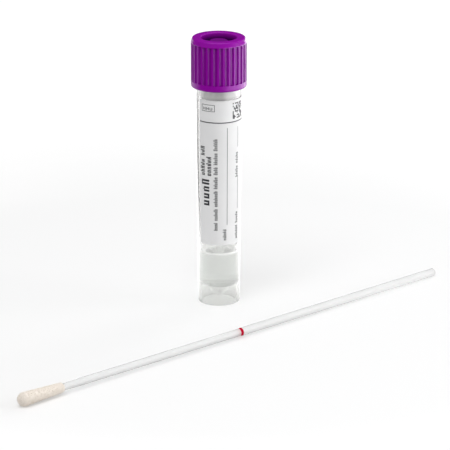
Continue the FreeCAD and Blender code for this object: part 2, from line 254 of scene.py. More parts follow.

# %% [markdown]
# ## Violet polypropylene
#
# The cap is the same plastic with a strong violet pigment, so no light goes through it. Its
# mould is finely blasted, which leaves a satin skin: highlights are broad and a little
# uneven. The pigment is never mixed perfectly, so very soft swirls of a slightly darker
# violet run through the base colour. The flutes and the well are drawn in a darker violet
# too, which is painted shade in the hollows. A real moulding has one colour throughout, and
# this only helps its hollows look deep.

# %% Material: violet polypropylene
def violet_polypropylene():
    material, tree, out = new_material("violet_polypropylene_moulded")
    place = object_coordinates(tree)
    swirl = add_node(tree, "ShaderNodeTexNoise", Vector=place, Scale=1 / (5 * MM),
                     Detail=3.0, Distortion=0.8)
    open_skin = add_node(tree, "ShaderNodeMix", {"data_type": "RGBA"},
                         i0=swirl.outputs["Fac"], i6=linear("#9002A0"), i7=linear("#9C07AA"))
    # painted shade, by how deep a point lies: 0 on the skin, 0.3 on the floor of a flute, 1 in
    # the well
    parts = add_node(tree, "ShaderNodeSeparateXYZ", Vector=place)
    flat = add_node(tree, "ShaderNodeVectorMath", {"operation": "MULTIPLY"}, i0=place,
                    i1=(1, 1, 0))
    radius = add_node(tree, "ShaderNodeVectorMath", {"operation": "LENGTH"},
                      i0=flat.outputs[0]).outputs["Value"]
    flute_shade_ramp = add_node(tree, "ShaderNodeMapRange", Value=radius, From_Min=FLUTE_EDGE_R,
                        From_Max=FLUTE_FLOOR_R, To_Max=0.3)
    above = add_node(tree, "ShaderNodeMath", {"operation": "GREATER_THAN"},
                     i0=parts.outputs["Z"], i1=CAP_LOW + 1.75 * MM)
    below = add_node(tree, "ShaderNodeMath", {"operation": "LESS_THAN"},
                     i0=parts.outputs["Z"], i1=CAP_TOP - 1.35 * MM)
    banded = add_node(tree, "ShaderNodeMath", {"operation": "MULTIPLY"},
                      i0=above.outputs[0], i1=below.outputs[0])
    flute = add_node(tree, "ShaderNodeMath", {"operation": "MULTIPLY"},
                     i0=flute_shade_ramp.outputs[0], i1=banded.outputs[0])
    well = add_node(tree, "ShaderNodeMapRange", Value=parts.outputs["Z"],
                    From_Min=CAP_TOP - 0.2 * MM, From_Max=CAP_TOP - 1.6 * MM)
    outside = add_node(tree, "ShaderNodeMath", {"operation": "GREATER_THAN"}, i0=radius,
                       i1=6 * MM)
    depth = add_node(tree, "ShaderNodeMix", i0=outside.outputs[0], i2=well.outputs[0],
                     i3=flute.outputs[0])
    # the painted shade: the hollows blend towards #400050, fully so deep in the well
    colour = add_node(tree, "ShaderNodeMix", {"data_type": "RGBA"}, i0=depth.outputs[0],
                      i6=open_skin.outputs[2], i7=linear("#400050"))
    blasted = add_node(tree, "ShaderNodeTexNoise", Vector=place, Scale=1 / (0.25 * MM),
                       Detail=2.0)
    satin = add_node(tree, "ShaderNodeMapRange", Value=blasted.outputs["Fac"],
                     To_Min=0.2, To_Max=0.3)
    shader = add_node(
        tree, "ShaderNodeBsdfPrincipled",
        Base_Color=colour.outputs[2],
        Roughness=satin.outputs[0],
        IOR=1.49,
        Specular_IOR_Level=0.3,
        Normal=bump_of(tree, blasted.outputs["Fac"], 0.01 * MM, 0.35),
    )
    tree.links.new(shader.outputs[0], out.inputs["Surface"])
    return material


cap_plastic = violet_polypropylene()
nodes["cap"].data.materials[0] = cap_plastic
print("cap:", cap_plastic.name)

# %% [markdown]
# ## The label film
#
# The label is a white plastic film with a matt coat that takes a ball pen. Up close it is
# not quite flat: the coat has a fine tooth, and the film follows small waves in its glue.
# Most light goes through so thin a film, which keeps the inside of the tube pale.

# %% Material: coated label film
def label_film():
    material, tree, out = new_material("label_film_matt_coated")
    place = object_coordinates(tree)
    tooth = add_node(tree, "ShaderNodeTexNoise", Vector=place, Scale=1 / (0.12 * MM))
    waves = add_node(tree, "ShaderNodeTexNoise", Vector=place, Scale=1 / (4 * MM))
    tone = add_node(tree, "ShaderNodeMix", {"data_type": "RGBA"}, i0=waves.outputs["Fac"],
                    i6=linear("#F1F1F2"), i7=linear("#F8F8F8"))
    height = add_node(tree, "ShaderNodeMath", {"operation": "MULTIPLY_ADD"},
                      i0=tooth.outputs["Fac"], i1=0.15, i2=waves.outputs["Fac"])
    shader = add_node(
        tree, "ShaderNodeBsdfPrincipled",
        Base_Color=tone.outputs[2],
        Roughness=0.55,
        IOR=1.5,
        Normal=bump_of(tree, height.outputs[0], 0.03 * MM, 0.3),
    )
    surface = let_light_through(tree, shader, 0.75, linear("#F6F6F6"))
    tree.links.new(surface, out.inputs["Surface"])
    return material


label_paper = label_film()
nodes["label"].data.materials[0] = label_paper
print("label:", label_paper.name)

# %% [markdown]
# ## The liquid
#
# The liquid is a clear, very slightly grey-green salt solution. It bends light a little more
# than water. Where its edge climbs the wall it is a thin film, and there the material turns
# from clear to pale, a painted highlight which draws the bright ring at its surface.

# %% Material: transport liquid
def transport_liquid():
    material, tree, out = new_material("clear_salt_solution")
    parts = add_node(tree, "ShaderNodeSeparateXYZ", Vector=object_coordinates(tree))
    # painted highlight: just above the level the liquid turns pale and less clear, which draws
    # the bright ring
    ring_highlight_band = add_node(tree, "ShaderNodeMapRange", Value=parts.outputs["Z"],
                        From_Min=LEVEL + 0.03 * MM, From_Max=LEVEL + 0.25 * MM)
    clear = add_node(tree, "ShaderNodeMapRange", Value=ring_highlight_band.outputs[0], To_Min=1.0,
                     To_Max=0.35)
    tone = add_node(tree, "ShaderNodeMix", {"data_type": "RGBA"}, i0=ring_highlight_band.outputs[0],
                    i6=linear("#E8EBE9"), i7=linear("#FCFDFC"))
    shader = add_node(
        tree, "ShaderNodeBsdfPrincipled",
        Base_Color=tone.outputs[2],
        Roughness=0.03,
        IOR=1.34,
        Transmission_Weight=clear.outputs[0],
    )
    surface = let_light_through(tree, shader, 0.88, linear("#F2F4F2"))
    tree.links.new(surface, out.inputs["Surface"])
    return material


liquid = transport_liquid()
print("liquid:", liquid.name)

# %% [markdown]
# ## The swab's stick
#
# The stick is moulded from white polystyrene with a satin shine. A ring of red ink marks the
# groove where it is made to snap. The ink is a colour and not a shape, so it is part of the
# material: the place along the stick is measured from the nose, and where it falls inside
# the band the surface turns red.

# %% Material: swab polystyrene with its red ring
def swab_polystyrene():
    material, tree, out = new_material("white_polystyrene_red_ring")
    place = object_coordinates(tree)
    from_nose = add_node(tree, "ShaderNodeVectorMath", {"operation": "SUBTRACT"},
                         i0=place, i1=SWAB_NOSE)
    along = add_node(
        tree, "ShaderNodeVectorMath", {"operation": "DOT_PRODUCT"}, i0=from_nose.outputs[0],
        i1=(math.cos(SWAB_HEADING), math.sin(SWAB_HEADING), 0))
    off_middle = add_node(tree, "ShaderNodeMath", {"operation": "SUBTRACT"},
                          i0=along.outputs["Value"], i1=BREAK_PLACE)
    distance = add_node(tree, "ShaderNodeMath", {"operation": "ABSOLUTE"},
                        i0=off_middle.outputs[0])
    inked = add_node(tree, "ShaderNodeMapRange", {"interpolation_type": "SMOOTHSTEP"},
                     Value=distance.outputs[0], From_Min=0.4 * MM, From_Max=0.5 * MM,
                     To_Min=1.0, To_Max=0.0)
    colour = add_node(tree, "ShaderNodeMix", {"data_type": "RGBA"}, i0=inked.outputs[0],
                      i6=linear("#F0F0F0"), i7=linear("#D01038"))
    clear = add_node(tree, "ShaderNodeMapRange", Value=inked.outputs[0],
                     To_Min=0.4, To_Max=0.0)
    shader = add_node(
        tree, "ShaderNodeBsdfPrincipled",
        Base_Color=colour.outputs[2],
        Roughness=0.25,
        IOR=1.55,
        Transmission_Weight=clear.outputs[0],
    )
    surface = let_light_through(tree, shader, 0.6, linear("#FAFAFA"))
    tree.links.new(surface, out.inputs["Surface"])
    return material


stick_plastic = swab_polystyrene()
nodes["swab_shaft"].data.materials[0] = stick_plastic
print("stick:", stick_plastic.name)

# %% [markdown]
# ## The flock's nylon
#
# Flock is thousands of short nylon fibres that stand up from the glue like velvet. It
# scatters light at its edges, which the sheen of the shader gives, and it is off-white.

# %% Material: nylon flock
def nylon_flock():
    material, tree, out = new_material("nylon_flock_off_white")
    place = object_coordinates(tree)
    clumps = add_node(tree, "ShaderNodeTexNoise", Vector=place, Scale=1 / (0.6 * MM),
                      Detail=3.0)
    tone = add_node(tree, "ShaderNodeMix", {"data_type": "RGBA"}, i0=clumps.outputs["Fac"],
                    i6=linear("#ECE5DC"), i7=linear("#F7F1EA"))
    shader = add_node(
        tree, "ShaderNodeBsdfPrincipled",
        Base_Color=tone.outputs[2],
        Roughness=0.9,
        Sheen_Weight=0.4,
        Sheen_Roughness=0.4,
        Normal=bump_of(tree, clumps.outputs["Fac"], 0.15 * MM, 0.4),
    )
    surface = let_light_through(tree, shader, 0.75, linear("#FBF8F4"))
    tree.links.new(surface, out.inputs["Surface"])
    return material


flock_nylon = nylon_flock()
print("flock:", flock_nylon.name)

# %% [markdown]
# ## Turned shapes
#
# Two of the solids are too plain for a close look: the liquid has to touch the wall and
# climb it in a fine curve, and the flock needs a body to carry its fibres. Both are round,
# so both are made by turning a profile about an axis. The profile runs from one point on
# the axis to another, which closes the shape at both poles.

# %% Two helpers for new pieces
def placed(name, mesh):
    """Put a mesh into the scene as an object at the origin."""
    mesh.name = name
    piece = bpy.data.objects.new(name, mesh)
    bpy.context.scene.collection.objects.link(piece)
    return piece


def add_piece(piece, body, slot, *solids):
    """Tie a piece to its body and hide what it stands for; the record's material, slot, is not
    used.
    """
    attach(piece, body)
    if solids:
        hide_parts(*solids)


# %% A function that turns a profile
def turned(name, profile, material, place=Matrix.Identity(4), steps=96):
    """Turn (radius, distance along the axis) points about Z, and put the shape in place."""
    shape = bmesh.new()
    rings = []
    for radius, along in profile:
        if radius == 0:
            rings.append([shape.verts.new((0, 0, along))] * steps)
            continue
        turns = [2 * math.pi * step / steps for step in range(steps)]
        rings.append([shape.verts.new((radius * math.cos(turn), radius * math.sin(turn),
                                       along)) for turn in turns])
    for lower, upper in zip(rings, rings[1:]):
        for step in range(steps):
            after = (step + 1) % steps
            corners = [lower[step], lower[after], upper[after], upper[step]]
            shape.faces.new(list(dict.fromkeys(corners)))
    bmesh.ops.recalc_face_normals(shape, faces=shape.faces)
    for face in shape.faces:
        face.smooth = True
    for edge in shape.edges:
        edge.smooth = edge.calc_face_angle(0) < math.radians(30)
    mesh = bpy.data.meshes.new(name)
    shape.to_mesh(mesh)
    shape.free()
    mesh.transform(place)
    mesh.materials.append(material)
    return placed(name, mesh)


def corner_arc(centre, radius, start, end, steps):
    """Points of a round corner in a profile, with angles in degrees from the radius axis."""
    turns = [math.radians(start + (end - start) * step / steps) for step in range(steps + 1)]
    return [(centre[0] + radius * math.cos(turn), centre[1] + radius * math.sin(turn))
            for turn in turns]


print("a quarter round in 4 steps has", len(corner_arc((0, 0), 1, 0, 90, 4)), "points")

# %% [markdown]
# ## The liquid's own shape
#
# A liquid that wets its tube has no gap at the wall, so this one reaches a hair into the
# plastic, where its side is no longer seen. Its surface is flat in the middle and climbs the
# wall over the last millimetre, steeper and steeper. The bright ring there is a painted
# highlight in the liquid's material.

# %% Piece: the liquid
CLIMB = 0.75 * MM
CLIMB_WIDTH = 0.7 * MM
INTO_WALL = 0.03 * MM
INTO_CONE = 0.02 * MM
SURFACE_STEPS = 24
BORE_AT_LEVEL = wall_radius(LEVEL) - TUBE_WALL + INTO_WALL
surface = []
for step in range(SURFACE_STEPS + 1):
    # the power packs the points closer together at the wall, where the surface is steep
    radius = BORE_AT_LEVEL * (1 - (step / SURFACE_STEPS) ** 1.6)
    rise = CLIMB * math.exp((radius - BORE_AT_LEVEL) / CLIMB_WIDTH)
    surface.append((radius, LEVEL + rise))
liquid_profile = [(0, CONE_TIP - INTO_CONE), (CONE_TIP_R, CONE_TIP - INTO_CONE),
                  (FOOT_R - TUBE_WALL + INTO_WALL, CONE_TOP)] + surface
liquid_piece = turned("liquid_with_meniscus", liquid_profile, liquid)
add_piece(liquid_piece, "tube_and_swab", "transport_liquid", "transport_medium")
print("liquid: level", LEVEL / MM, "mm,", len(liquid_piece.data.polygons), "faces")

# %% [markdown]
# ## The flock
#
# The flocked tip is a soft body with a nap of nylon fibres on it. The body is turned and laid
# on the line of the swab. The nap is grown on it with Geometry Nodes: points are scattered
# evenly over the skin, and on each stands one thin cone that leans a little its own way. The
# nap ends where the solid's own skin is.

# %% Piece: the flock's body
# the swab rests on the nose of its flock and on the end of its handle
SWAB_TILT = math.atan((FLOCK_R - HANDLE_R) / (SWAB_LENGTH - HANDLE_ROUND - FLOCK_R))
nose_height = FLOCK_R * (math.cos(SWAB_TILT) + math.sin(SWAB_TILT))
along_swab = (Matrix.Translation(SWAB_NOSE + Vector((0, 0, nose_height)))
              @ Matrix.Rotation(SWAB_HEADING, 4, "Z") @ Matrix.Rotation(SWAB_TILT, 4, "Y")
              @ Matrix.Rotation(math.radians(90), 4, "Y"))
NAP = 0.28 * MM
FLOCK_BACK_R = 1.45 * MM
BACK_ROUND = 0.35 * MM
BACK_INSET = 0.5 * MM
body_r = FLOCK_R - NAP
back_r = FLOCK_BACK_R - NAP
back = FLOCK_LENGTH - BACK_INSET
nose = corner_arc((0, FLOCK_R), body_r, -90, 0, 16)
nose[0] = (0, nose[0][1])
flock_profile = nose + corner_arc((back_r - BACK_ROUND, back - BACK_ROUND), BACK_ROUND,
                                  5, 90, 6)
flock_profile.append((0, back))
flock_body = turned("flock_body", flock_profile, flock_nylon, along_swab, steps=64)
add_piece(flock_body, "tube_and_swab", "nylon_flock", "flocked_tip")
print("flock body:", len(flock_body.data.polygons), "faces, tilt",
      round(math.degrees(SWAB_TILT), 3), "degrees")

# %% Nodes: a nap of fibres
def fibre_nodes():
    """Scatter thin leaning cones over the faces that come in."""
    group = bpy.data.node_groups.new("Nap of fibres", "GeometryNodeTree")
    sides = group.interface
    sides.new_socket("Skin", in_out="INPUT", socket_type="NodeSocketGeometry")
    sides.new_socket("Fibres per square metre", in_out="INPUT", socket_type="NodeSocketFloat")
    sides.new_socket("Length", in_out="INPUT", socket_type="NodeSocketFloat")
    sides.new_socket("Thickness", in_out="INPUT", socket_type="NodeSocketFloat")
    sides.new_socket("Lean", in_out="INPUT", socket_type="NodeSocketFloat")
    sides.new_socket("Material", in_out="INPUT", socket_type="NodeSocketMaterial")
    sides.new_socket("Fibres", in_out="OUTPUT", socket_type="NodeSocketGeometry")
    given = group.nodes.new("NodeGroupInput").outputs
    points = add_node(group, "GeometryNodeDistributePointsOnFaces", Mesh=given["Skin"],
                      Density=given["Fibres per square metre"], Seed=7)
    fibre = add_node(group, "GeometryNodeMeshCone", Vertices=4, Radius_Top=0.006 * MM,
                     Radius_Bottom=given["Thickness"], Depth=given["Length"])
    least = add_node(group, "ShaderNodeMath", {"operation": "MULTIPLY"}, i0=given["Lean"],
                     i1=-1.0)
    low = add_node(group, "ShaderNodeCombineXYZ", X=least.outputs[0], Y=least.outputs[0])
    high = add_node(group, "ShaderNodeCombineXYZ", X=given["Lean"], Y=given["Lean"])
    lean = add_node(group, "FunctionNodeRandomValue", {"data_type": "FLOAT_VECTOR"},
                    i0=low.outputs[0], i1=high.outputs[0], Seed=3)
    leaning = add_node(group, "FunctionNodeRotateRotation", {"rotation_space": "LOCAL"},
                       Rotation=points.outputs["Rotation"], Rotate_By=lean.outputs[0])
    size = add_node(group, "FunctionNodeRandomValue", {"data_type": "FLOAT"}, i2=0.75, i3=1.0,
                    Seed=5)
    nap = add_node(group, "GeometryNodeInstanceOnPoints", Points=points.outputs["Points"],
                   Instance=fibre.outputs["Mesh"], Rotation=leaning.outputs[0],
                   Scale=size.outputs[1])
    real = add_node(group, "GeometryNodeRealizeInstances", Geometry=nap.outputs[0])
    dyed = add_node(group, "GeometryNodeSetMaterial", Geometry=real.outputs[0],
                    Material=given["Material"])
    add_node(group, "NodeGroupOutput", Fibres=dyed.outputs[0])
    return group


def grown(name, source, group, **values):
    """Run a node group on a mesh and keep what it makes as a mesh of its own."""
    maker = bpy.data.objects.new(name, source)
    bpy.context.scene.collection.objects.link(maker)
    modifier = maker.modifiers.new(name, "NODES")
    modifier.node_group = group
    for item in group.interface.items_tree:
        given = values.get(item.name.replace(" ", "_"))
        if item.in_out == "INPUT" and given is not None:
            modifier[item.identifier] = given
    made = maker.evaluated_get(bpy.context.evaluated_depsgraph_get())
    mesh = bpy.data.meshes.new_from_object(made)
    maker.modifiers.clear()
    maker.data = mesh
    mesh.name = name
    return maker


FIBRE_DENSITY = 40 / MM ** 2
flock_fibres = grown("flock_fibres", flock_body.data, fibre_nodes(),
                     Fibres_per_square_metre=FIBRE_DENSITY, Length=NAP, Thickness=0.05 * MM,
                     Lean=0.4, Material=flock_nylon)
add_piece(flock_fibres, "tube_and_swab", "nylon_flock")
print("flock fibres:", len(flock_fibres.data.polygons), "faces")

# %% [markdown]
# ## The threads
#
# The cap climbs the neck on a screw thread. Both threads are the same node group: a spiral
# that carries a small four-sided profile, thinned out at both ends as a real thread runs
# out. The neck's stands outward and the cap's inward, half a pitch apart, so that they
# interleave and don't touch while the cap is down. A straight lift doesn't turn the cap, so
# on the way up the two ridges do pass through each other.

# %% Nodes: a screw thread
def lift_of(group, height):
    return add_node(group, "ShaderNodeCombineXYZ", Z=height).outputs[0]


def check_thread(thread):
    """Turn the faces outward, and say where the ridge runs and whether it is closed."""
    shape = bmesh.new()
    shape.from_mesh(thread.data)
    bmesh.ops.recalc_face_normals(shape, faces=shape.faces)
    volume = shape.calc_volume(signed=True)
    loose = sum(not edge.is_manifold for edge in shape.edges)
    shape.to_mesh(thread.data)
    radii = [corner.co.xy.length / MM for corner in shape.verts]
    heights = [corner.co.z / MM for corner in shape.verts]
    shape.free()
    print(thread.name + ":", round(volume / MM ** 3, 2), "cubic mm, radius",
          round(min(radii), 2), "to", round(max(radii), 2), "mm, height",
          round(min(heights), 2), "to", round(max(heights), 2), "mm, open edges", loose)


def thread_nodes():
    """A ridge that winds up the Z axis, wide at its root and narrow at its crest."""
    group = bpy.data.node_groups.new("Screw thread", "GeometryNodeTree")
    sides = group.interface
    for name in ("Turns", "Pitch", "Foot", "Inner radius", "Outer radius", "Inner width",
                 "Outer width", "Wall radius"):
        sides.new_socket(name, in_out="INPUT", socket_type="NodeSocketFloat")
    sides.new_socket("Material", in_out="INPUT", socket_type="NodeSocketMaterial")
    sides.new_socket("Thread", in_out="OUTPUT", socket_type="NodeSocketGeometry")
    given = group.nodes.new("NodeGroupInput").outputs
    rise = add_node(group, "ShaderNodeMath", {"operation": "MULTIPLY"}, i0=given["Turns"],
                    i1=given["Pitch"])
    depth = add_node(group, "ShaderNodeMath", {"operation": "SUBTRACT"},
                     i0=given["Outer radius"], i1=given["Inner radius"])
    middle = add_node(group, "ShaderNodeMath", {"operation": "MULTIPLY_ADD"},
                      i0=depth.outputs[0], i1=0.5, i2=given["Inner radius"])
    spiral = add_node(group, "GeometryNodeCurveSpiral", Resolution=72, Rotations=given["Turns"],
                      Start_Radius=1.0, End_Radius=1.0, Height=rise.outputs[0],
                      Reverse=True)
    # 1 in the middle of the thread, and next to nothing at its two ends
    factor = add_node(group, "GeometryNodeSplineParameter").outputs["Factor"]
    from_end = add_node(group, "ShaderNodeMath", {"operation": "PINGPONG"}, i0=factor, i1=0.5)
    run_out = add_node(group, "ShaderNodeMapRange", Value=from_end.outputs[0],
                       From_Max=0.06, To_Min=0.12)
    # the middle of the profile sinks to the wall as the profile shrinks
    out = add_node(group, "ShaderNodeMix", i0=run_out.outputs[0], i2=given["Wall radius"],
                   i3=middle.outputs[0])
    spread = add_node(group, "ShaderNodeCombineXYZ", X=out.outputs[0], Y=out.outputs[0], Z=1.0)
    place = add_node(group, "GeometryNodeInputPosition").outputs[0]
    wide = add_node(group, "ShaderNodeVectorMath", {"operation": "MULTIPLY_ADD"}, i0=place,
                    i1=spread.outputs[0], i2=lift_of(group, given["Foot"]))
    wound = add_node(group, "GeometryNodeSetPosition", Geometry=spiral.outputs[0],
                     Position=wide.outputs[0])
    upright = add_node(group, "GeometryNodeSetCurveNormal", {"mode": "Z_UP"},
                       Curve=wound.outputs[0])
    profile = add_node(group, "GeometryNodeCurvePrimitiveQuadrilateral",
                       {"mode": "TRAPEZOID"}, Height=depth.outputs[0],
                       Bottom_Width=given["Inner width"], Top_Width=given["Outer width"],
                       Offset=0.0)
    turned_profile = add_node(group, "GeometryNodeTransform", Geometry=profile.outputs[0],
                              Rotation=(0, 0, math.radians(90)))
    ridge = add_node(group, "GeometryNodeCurveToMesh", Curve=upright.outputs[0],
                     Profile_Curve=turned_profile.outputs[0], Scale=run_out.outputs[0],
                     Fill_Caps=True)
    dyed = add_node(group, "GeometryNodeSetMaterial", Geometry=ridge.outputs[0],
                    Material=given["Material"])
    add_node(group, "NodeGroupOutput", Thread=dyed.outputs[0])
    return group


thread_group = thread_nodes()
NECK_THREAD_FOOT = 62.6 * MM
PITCH = 3.0 * MM
ROOT_WIDTH, CREST_WIDTH = 1.1 * MM, 0.5 * MM
nothing = bpy.data.meshes.new("nothing")
neck_thread = grown("neck_thread", nothing, thread_group, Turns=2.2, Pitch=PITCH,
                    Foot=NECK_THREAD_FOOT, Inner_radius=NECK_R - 0.05 * MM,
                    Outer_radius=NECK_R + 0.45 * MM, Inner_width=ROOT_WIDTH,
                    Outer_width=CREST_WIDTH, Wall_radius=NECK_R, Material=tube_plastic)
cap_thread = grown("cap_thread", nothing, thread_group, Turns=1.7, Pitch=PITCH,
                   Foot=NECK_THREAD_FOOT + PITCH / 2, Inner_radius=CAP_BORE_R - 0.5 * MM,
                   Outer_radius=CAP_BORE_R + 0.05 * MM, Inner_width=CREST_WIDTH,
                   Outer_width=ROOT_WIDTH, Wall_radius=CAP_BORE_R, Material=cap_plastic)
add_piece(neck_thread, "tube_and_swab", "natural_polypropylene")
add_piece(cap_thread, "screw_cap", "violet_polypropylene")
for thread in (neck_thread, cap_thread):
    check_thread(thread)

# %% [markdown]
# ## The print on the label
#
# The label is printed in one dark ink. There is a line right round it under its top, a small
# box and a block pattern above that line, three lines to write on, and rows of small print
# beside them. None of it says anything: a row of print is a row of plain signs, each two
# strokes and a bar, which looks as text does when it is too small to read. The print is
# drawn flat, with the arc round the label as x and the height as z, and is then bent onto
# the film.

# %% Material: label ink
def label_ink():
    material, tree, out = new_material("thermal_transfer_ink")
    # the ink takes badly on the film's tooth here and there, so its black is a little patchy
    patches = add_node(tree, "ShaderNodeTexNoise", Vector=object_coordinates(tree),
                       Scale=1 / (0.3 * MM))
    tone = add_node(tree, "ShaderNodeMix", {"data_type": "RGBA"}, i0=patches.outputs["Fac"],
                    i6=linear("#26262A"), i7=linear("#4A4A50"))
    shader = add_node(tree, "ShaderNodeBsdfPrincipled", Base_Color=tone.outputs[2],
                      Roughness=0.4, IOR=1.5)
    tree.links.new(shader.outputs[0], out.inputs["Surface"])
    return material


ink = label_ink()

# %% Bend flat print onto the label
PRINT_R = WALL_R + LABEL_GAP
INK_LIFT = 0.015 * MM
BEND_STEP = 0.4 * MM


def bend_round_label(mesh):
    """Turn x, the arc from the front of the label, into a place on the film."""
    for corner in mesh.vertices:
        turn = corner.co.x / PRINT_R
        radius = wall_radius(corner.co.z) + LABEL_GAP + INK_LIFT
        corner.co = (radius * math.sin(turn), -radius * math.cos(turn), corner.co.z)
    mesh.update()


def flat_print(bars):
    """A flat mesh of bars (left, right, low, high), cut up so that it can be bent.

    A bar is cut across at short steps, and once along where the wall stops widening."""
    sheet = bmesh.new()
    lower = [(left, right, low, min(high, DRAFT_TOP)) for left, right, low, high in bars]
    upper = [(left, right, max(low, DRAFT_TOP), high) for left, right, low, high in bars]
    for left, right, low, high in lower + upper:
        if high <= low:
            continue
        count = max(1, math.ceil((right - left) / BEND_STEP))
        edges = [left + (right - left) * step / count for step in range(count + 1)]
        pairs = [(sheet.verts.new((x, 0, low)), sheet.verts.new((x, 0, high)))
                 for x in edges]
        for (low_a, high_a), (low_b, high_b) in zip(pairs, pairs[1:]):
            sheet.faces.new((low_a, low_b, high_b, high_a))
    mesh = bpy.data.meshes.new("bars")
    sheet.to_mesh(mesh)
    sheet.free()
    mesh.materials.append(ink)
    return mesh


print("one degree of the label is", round(PRINT_R * math.pi / 180 / MM, 3), "mm of arc")

# %% Piece: lines, box and block pattern
LINE = 0.13 * MM
label_left = -5.95 * MM
PRINTED_DEGREES = 314
label_right = label_left + 2 * math.pi * PRINT_R * PRINTED_DEGREES / 360
bars = [(label_left, label_right, 51.62 * MM, 51.9 * MM)]
for arc, low, high in ((2.35, 23.1, 50.3), (6.0, 44.5, 50.2), (6.0, 27.2, 36.3)):
    bars.append((arc * MM - LINE / 2, arc * MM + LINE / 2, low * MM, high * MM))
box_left, box_right, box_low, box_high = -5.0 * MM, -1.1 * MM, 54.8 * MM, 56.7 * MM
bars += [(box_left, box_right, box_low, box_low + LINE),
         (box_left, box_right, box_high - LINE, box_high),
         (box_left, box_left + LINE, box_low, box_high),
         (box_right - LINE, box_right, box_low, box_high)]
CELLS, CELL = 12, 0.37 * MM
chance = random.Random(4)
for column in range(CELLS):
    for row in range(CELLS):
        if chance.random() < 0.5:
            left, low = 4.0 * MM + column * CELL, 52.55 * MM + row * CELL
            bars.append((left, left + CELL, low, low + CELL))
label_lines = placed("label_lines", flat_print(bars))
bend_round_label(label_lines.data)
add_piece(label_lines, "tube_and_swab", "label_film")
print("lines:", len(bars), "bars")

# %% Rows of signs
SIGN_SHARE = 0.72
BAR_SHARE = 0.8


def sign(start, foot, width, height, thick, upright):
    """Two strokes of uneven height with a bar between them, as four-sided bars.

    A sign that is not upright lies on its side, in a row that runs up the tube."""
    heights = [height * chance.choice((0.7, 0.7, 1.0)) for stroke in range(2)]
    joint = min(heights) * chance.choice((0, 0.45, 0.85))
    parts = [(0, thick, 0, heights[0]), (width - thick, width, 0, heights[1]),
             (thick, width - thick, joint, joint + thick * BAR_SHARE)]
    if upright:
        return [(start + left, start + right, foot + low, foot + high)
                for left, right, low, high in parts]
    return [(foot - high, foot - low, start + left, start + right)
            for left, right, low, high in parts]


def row_of_signs(start, end, foot, pitch, height, thick, upright=False):
    """Fill a row with signs, and leave a gap between words."""
    row = []
    word = chance.randint(4, 7)
    while start + pitch <= end:
        if word == 0:
            word = chance.randint(3, 8)
        else:
            row += sign(start, foot, pitch * SIGN_SHARE, height, thick, upright)
            word -= 1
        start += pitch
    return row


# each style: pitch, height and thickness of a sign, and its rows as start, end and foot
PRINT_STYLES = {
    "label_captions": (0.64, 1.0, 0.17, [(18.8, 22.6, 2.1), (18.8, 26.8, 6.0),
                                         (36.2, 43.8, 6.0)]),
    "label_thin_row": (0.56, 1.1, 0.15, [(21.6, 48.3, -0.35)]),
    "label_bold_rows": (0.92, 1.5, 0.27, [(36.9, 45.2, -4.1), (36.9, 43.6, -2.1)]),
    "label_title": (1.95, 2.5, 0.55, [(28.5, 36.4, -2.7)]),
}
for name, (pitch, height, thick, rows) in PRINT_STYLES.items():
    strokes = []
    for start, end, foot in rows:
        strokes += row_of_signs(start * MM, end * MM, foot * MM, pitch * MM, height * MM,
                                thick * MM)
    if name == "label_captions":
        strokes += row_of_signs(box_left + 0.5 * MM, box_right - 0.3 * MM, box_low + 0.4 * MM,
                                1.0 * MM, 1.1 * MM, 0.17 * MM, upright=True)
    piece = placed(name, flat_print(strokes))
    bend_round_label(piece.data)
    add_piece(piece, "tube_and_swab", "label_film")
    print(name + ":", len(strokes), "strokes")
